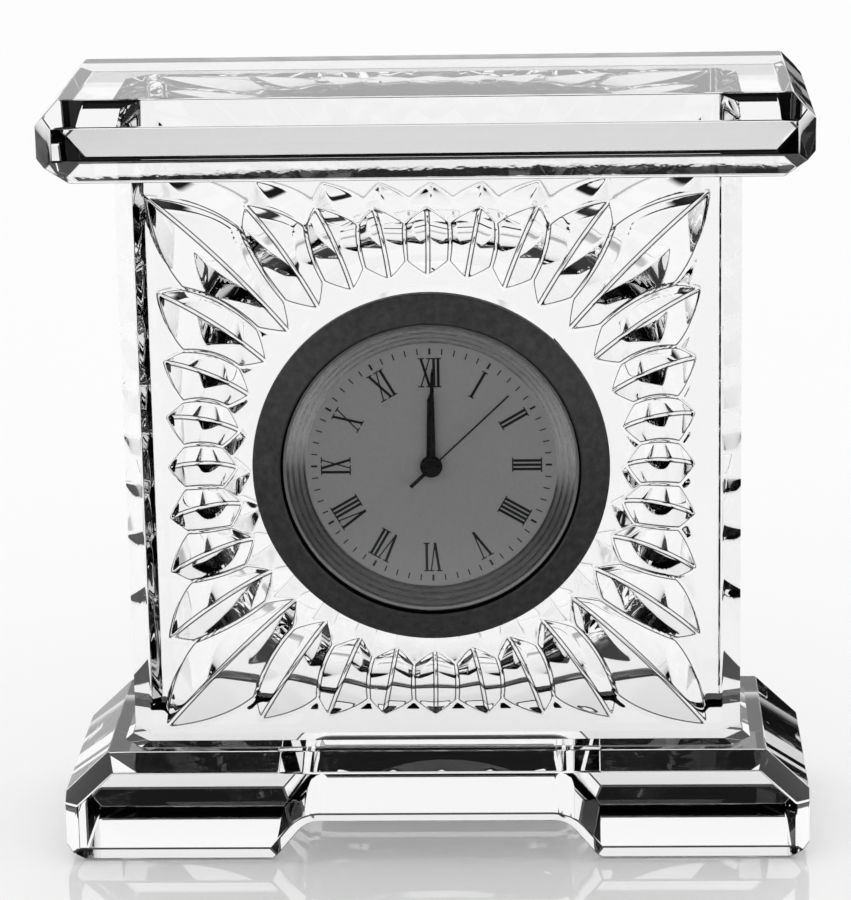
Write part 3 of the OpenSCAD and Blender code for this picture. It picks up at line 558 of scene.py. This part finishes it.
def crystal_piece():
    """The block as it is polished: every arris a little rounded, and the cuts in one smooth relief.

    The arrises that face down get nearly black glass, a painted shade.
    """
    mesh = bmesh.new()
    mesh.from_mesh(frame["nodes"]["crystal_block"].data)
    mesh.verts.layers.float.new("arris_off")
    bmesh.ops.remove_doubles(mesh, verts=mesh.verts, dist=2e-6)
    bmesh.ops.delete(mesh, geom=[f for f in mesh.faces if is_cut(f, -1) or is_cut(f, 1)], context="FACES")
    bmesh.ops.dissolve_limit(mesh, angle_limit=math.radians(0.3), verts=mesh.verts, edges=mesh.edges)
    mesh.normal_update()

    def is_arris(edge):
        """Whether an edge stands out and lies neither in the bore nor on the collar under the body."""
        in_bore = all(dial_distance(v) < BORE_MOUTH_R and abs(v.co.y) < 13 * MM for v in edge.verts)
        in_collar = any(BASE_TOP + 0.01 < v.co.z / MM < FACE_LOW + 0.01 for v in edge.verts)
        if len(edge.link_faces) != 2 or in_bore or in_collar:
            return False
        return edge.calc_face_angle_signed() > math.radians(ARRIS_TURN)

    def is_bend(face):
        """Whether a face is one of a fillet's small facets."""
        pairs = [e for e in face.edges if len(e.link_faces) == 2]
        return face.calc_area() < BEND_AREA and any(
            BEND_TURN[0] < e.calc_face_angle() < BEND_TURN[1] for e in pairs)

    arrises = [e for e in mesh.edges if is_arris(e)]
    strips = bmesh.ops.bevel(
        mesh, geom=arrises, offset=EDGE_ROUND * MM, segments=3, profile=0.5, affect="EDGES",
        clamp_overlap=True)["faces"]
    mesh.normal_update()
    bends = {f for f in mesh.faces if is_bend(f)}
    cuts = [MitreCut(2 * math.pi * i / CUT_COUNT) for i in range(CUT_COUNT)]
    relief_faces = cut_face(mesh, -1, cuts) + cut_face(mesh, 1, cuts)
    bmesh.ops.recalc_face_normals(mesh, faces=mesh.faces)
    mesh.normal_update()
    for face in mesh.faces:
        face.smooth = True
    # Painted shade: the bevels that face down get the nearly black glass
    for face in strips:
        faces_down = face.normal.z < -0.15 and abs(face.normal.y) > 0.15
        face.material_index = 1 if faces_down else 0
    data = bpy.data.meshes.new("crystal_cut")
    mesh.to_mesh(data)
    soften_normals(mesh, data, set(strips) | bends | set(relief_faces))
    mesh.free()
    data.materials.append(MATERIALS["crystal"])
    data.materials.append(MATERIALS["crystal_painted_dark_arris"])
    piece = bpy.data.objects.new("crystal_cut", data)
    bpy.context.scene.collection.objects.link(piece)
    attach(piece, "crystal")
    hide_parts("crystal_block")


def finish_nodes():
    """Every carried-over node gets its slot's material."""
    slots = {part["node"]: part["material_slot"] for part in frame["record"]["subparts"]}
    for name, node in frame["nodes"].items():
        node.data.materials.clear()
        node.data.materials.append(MATERIALS[slots[name]])


def plate(mesh, corners, place):
    """Thin closed plate of ink with that outline. place maps the outline's points to the frame."""
    front = [mesh.verts.new(place(x, y, INK_HEIGHT)) for x, y in corners]
    back = [mesh.verts.new(place(x, y, 0)) for x, y in corners]
    mesh.faces.new(front)
    mesh.faces.new(list(reversed(back)))
    for i in range(len(corners)):
        j = (i + 1) % len(corners)
        mesh.faces.new([front[j], front[i], back[i], back[j]])


def bar(x0, x1, y0, y1):
    """Upright rectangle."""
    return [(x0, y0), (x1, y0), (x1, y1), (x0, y1)]


def slanted(x0, x1, y0, y1, width):
    """Stroke that runs from (x0, y0) up to (x1, y1), with level ends."""
    half = width / 2
    return [(x0 - half, y0), (x0 + half, y0), (x1 + half, y1), (x1 - half, y1)]


def numeral_strokes(text):
    """Outlines of one numeral, centred on x = 0, from y = 0 at the foot to its height."""
    height = NUMERAL_OUTER_R - NUMERAL_INNER_R
    low = SERIF_HEIGHT
    high = height - SERIF_HEIGHT
    x = -sum(LETTER_WIDTH[c] for c in text) / 2
    strokes = []
    top = []
    foot = []
    for c in text:
        w = LETTER_WIDTH[c]
        mid = x + w / 2
        left, right = x + STROKE_INSET, x + w - STROKE_INSET
        if c == "I":
            strokes.append(bar(mid - THICK_STROKE / 2, mid + THICK_STROKE / 2, low, high))
            ends = ([mid], [mid])
        elif c == "V":
            strokes.append(slanted(mid, left, 0, high, THICK_STROKE))
            strokes.append(slanted(mid, right, 0, high, THIN_STROKE))
            ends = ([left, right], [])
        else:
            strokes.append(slanted(right, left, low, high, THICK_STROKE))
            strokes.append(slanted(left, right, low, high, THIN_STROKE))
            ends = ([left, right], [left, right])
        top += ends[0]
        foot += ends[1]
        x += w
    reach = THICK_STROKE / 2 + SERIF_REACH
    for places, y0, y1 in ((top, high, height), (foot, 0, low)):
        for run in serif_runs(places, reach):
            strokes.append(bar(run[0] - reach, run[1] + reach, y0, y1))
    return strokes


def serif_runs(places, reach):
    """Neighbouring stroke ends whose serifs meet, joined to one bar each."""
    runs = []
    for p in sorted(places):
        if runs and p - runs[-1][1] < 2 * reach:
            runs[-1][1] = p
        else:
            runs.append([p, p])
    return runs


def dial_print():
    """Minute track and Roman numerals, read from the centre outwards."""
    mesh = bmesh.new()

    def on_dial(turn):
        """Places x to the right and y outwards of the direction turn, clockwise from twelve."""
        across = Vector((math.cos(turn), 0, -math.sin(turn)))
        outward = Vector((math.sin(turn), 0, math.cos(turn)))
        centre = Vector((DIAL_CENTRE.x, DIAL_FACE_Y, DIAL_CENTRE.z))

        def place(x, y, height):
            return centre + MM * (across * x + outward * y - Vector((0, height, 0)))
        return place

    for minute in range(60):
        width = HOUR_TICK_WIDTH if minute % 5 == 0 else TICK_WIDTH
        place = on_dial(math.radians(6 * minute))
        plate(mesh, bar(-width / 2, width / 2, TICK_INNER_R, TICK_OUTER_R), place)
    for hour, text in enumerate(NUMERALS):
        place = on_dial(math.radians(30 * hour))
        for outline in numeral_strokes(text):
            plate(mesh, [(x, y + NUMERAL_INNER_R) for x, y in outline], place)
    bmesh.ops.recalc_face_normals(mesh, faces=mesh.faces)
    data = bpy.data.meshes.new("dial_print")
    mesh.to_mesh(data)
    mesh.free()
    data.materials.append(metal("dial_ink", (0.006, 0.006, 0.006), 0.5, 3000, 0.000002, 0.0))
    piece = bpy.data.objects.new("dial_print", data)
    bpy.context.scene.collection.objects.link(piece)
    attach(piece, "insert")


def camera():
    """The photograph's camera."""
    yaw, pitch, roll = (math.radians(a) for a in (CAMERA_YAW, CAMERA_PITCH, CAMERA_ROLL))
    ahead = Vector((-math.sin(yaw) * math.cos(pitch), math.cos(yaw) * math.cos(pitch), -math.sin(pitch)))
    right = ahead.cross(Vector((0, 0, 1))).normalized()
    up = right.cross(ahead)
    across = math.cos(roll) * right + math.sin(roll) * up
    upward = -math.sin(roll) * right + math.cos(roll) * up
    data = bpy.data.cameras.new("camera")
    data.lens = CAMERA_LENS
    data.sensor_width = CAMERA_SENSOR
    data.clip_start = 0.01
    obj = bpy.data.objects.new("camera", data)
    turn = Matrix((across, upward, -ahead)).transposed().to_4x4()
    obj.matrix_world = Matrix.Translation(CAMERA_PLACE) @ turn
    bpy.context.scene.collection.objects.link(obj)
    bpy.context.scene.camera = obj


def seen_in_gloss(tree):
    """1 for a mirrored or refracted ray from the camera, 0 for one that lights a matt surface."""
    path = tree.nodes.new("ShaderNodeLightPath")
    sharp = math_node(tree, "MAXIMUM", path.outputs["Is Glossy Ray"], path.outputs["Is Transmission Ray"])
    matt = math_node(tree, "MINIMUM", path.outputs["Diffuse Depth"], 1)
    return math_node(tree, "MULTIPLY", sharp, math_node(tree, "SUBTRACT", 1, matt))


def has_been(tree, kind):
    """1 for a ray that has been through glass (kind Transmission) or mirrored (kind Glossy) on its way."""
    return math_node(tree, "MINIMUM", tree.nodes.new("ShaderNodeLightPath").outputs[kind + " Depth"], 1)


def blend(tree, factor, a, b):
    """Colour a where factor is 0 and b where it is 1, each a grey level."""
    node = tree.nodes.new("ShaderNodeMix")
    node.data_type = "RGBA"
    tree.links.new(factor, node.inputs["Factor"])
    node.inputs[6].default_value = (a, a, a, 1)
    node.inputs[7].default_value = (b, b, b, 1)
    return node.outputs[2]


def floor():
    """White glossy table. To mirrors and glass only, its colour is painted dark beyond where it ends, in a
    strip at its far end and ahead of the clock, as painted reflections, and under the clock, as painted
    shade.
    """
    mat, tree, shader = new_material("table_gloss_painted_dark")
    coords = tree.nodes.new("ShaderNodeTexCoord")
    split = tree.nodes.new("ShaderNodeSeparateXYZ")
    tree.links.new(coords.outputs["Object"], split.inputs["Vector"])
    length = tree.nodes.new("ShaderNodeVectorMath")
    length.operation = "LENGTH"
    tree.links.new(coords.outputs["Object"], length.inputs[0])
    x, y = split.outputs["X"], split.outputs["Y"]
    far_end = between(tree, y, 0, FAR, 0.1)
    strip = product(tree, between(tree, length.outputs["Value"], *TABLE_PAINTED_DARK_STRIP, 0.005), far_end)
    table = product(tree, between(tree, x, -FAR, TABLE_RIGHT, 0.02), between(tree, y, TABLE_FRONT, FAR, 0.02))
    beyond = product(tree, inverse(tree, table), has_been(tree, "Glossy"))
    path = tree.nodes.new("ShaderNodeLightPath").outputs
    mirrored = product(tree, path["Is Glossy Ray"], inverse(tree, path["Is Transmission Ray"]))
    ahead = product(tree, between(tree, y, -FAR, TABLE_AHEAD, 0.01), mirrored)
    low, high = cad_box
    # Painted shade: the floor under the clock, as glass and mirrors see it
    under = product(tree, between(tree, x, low[0], high[0], 0.002), between(tree, y, low[1], high[1], 0.002))
    # Painted reflections and painted shade: the colour goes dark and the sheen goes where glass and mirrors
    # see these parts
    dark = product(tree, largest(tree, strip, beyond, ahead, under), seen_in_gloss(tree))
    tree.links.new(blend(tree, dark, 0.97, 0.02), shader.inputs["Base Color"])
    tree.links.new(product(tree, inverse(tree, dark), 0.5), shader.inputs["Specular IOR Level"])
    shader.inputs["IOR"].default_value = 1.8
    tree.links.new(ramp(tree, noise(tree, 300, 3), [(0.4, 0.02), (0.7, 0.05)]), shader.inputs["Roughness"])
    mesh = bmesh.new()
    corners = ((-1, -1), (1, -1), (1, 1), (-1, 1))
    mesh.faces.new([mesh.verts.new((x * FLOOR_REACH, y * FLOOR_REACH, -FLOOR_DROP)) for x, y in corners])
    data = bpy.data.meshes.new("table")
    mesh.to_mesh(data)
    mesh.free()
    data.materials.append(mat)
    obj = bpy.data.objects.new("table", data)
    bpy.context.scene.collection.objects.link(obj)


def studio():
    """White surroundings at a plain level.

    Glass shows the dark ceiling and the dark gap under the bright panels. A ray that was mirrored on its way
    shows the dark room to the right and the darkness behind the photograph's camera too.
    """
    world = bpy.data.worlds.new("studio")
    bpy.context.scene.world = world
    world.use_nodes = True
    tree = world.node_tree
    coords = tree.nodes.new("ShaderNodeTexCoord")
    split = tree.nodes.new("ShaderNodeSeparateXYZ")
    tree.links.new(coords.outputs["Generated"], split.inputs["Vector"])
    x, y, z = (split.outputs[axis] for axis in "XYZ")
    gap = product(tree, between(tree, z, *GAP, 0.01), between(tree, x, -GAP_HALF_WIDTH, GAP_HALF_WIDTH, 0.03),
                  between(tree, y, 0, FAR, 0.1))
    above = largest(tree, between(tree, z, CEILING, FAR, 0.015), gap)
    level_y = math_node(tree, "DIVIDE", y, hypotenuse(tree, x, y))
    room = product(tree, between(tree, level_y, *ROOM_SPAN, 0.04), between(tree, x, 0, FAR, 0.02),
                   between(tree, z, -FAR, ROOM_TOP, 0.03))
    behind_camera = between(tree, y, -FAR, BEHIND_CAMERA, 0.05)
    through = has_been(tree, "Transmission")
    mirrored = has_been(tree, "Glossy")
    seen_high = between(tree, z, ROOM_TOP, FAR, 0.05)
    dark = largest(tree, product(tree, through, above), product(tree, through, mirrored, room),
                   product(tree, mirrored, behind_camera, largest(tree, through, seen_high)))
    dark = product(tree, dark, seen_in_gloss(tree))
    back = tree.nodes["Background"]
    tree.links.new(blend(tree, dark, 1, 0.01), back.inputs["Color"])
    back.inputs["Strength"].default_value = 1.0


camera()
finish_nodes()
crystal_piece()
dial_print()
floor()
studio()
scene = bpy.context.scene
scene.view_settings.view_transform = "Standard"
scene.cycles.max_bounces = LIGHT_BOUNCES
scene.cycles.transmission_bounces = LIGHT_BOUNCES
scene.cycles.glossy_bounces = LIGHT_BOUNCES
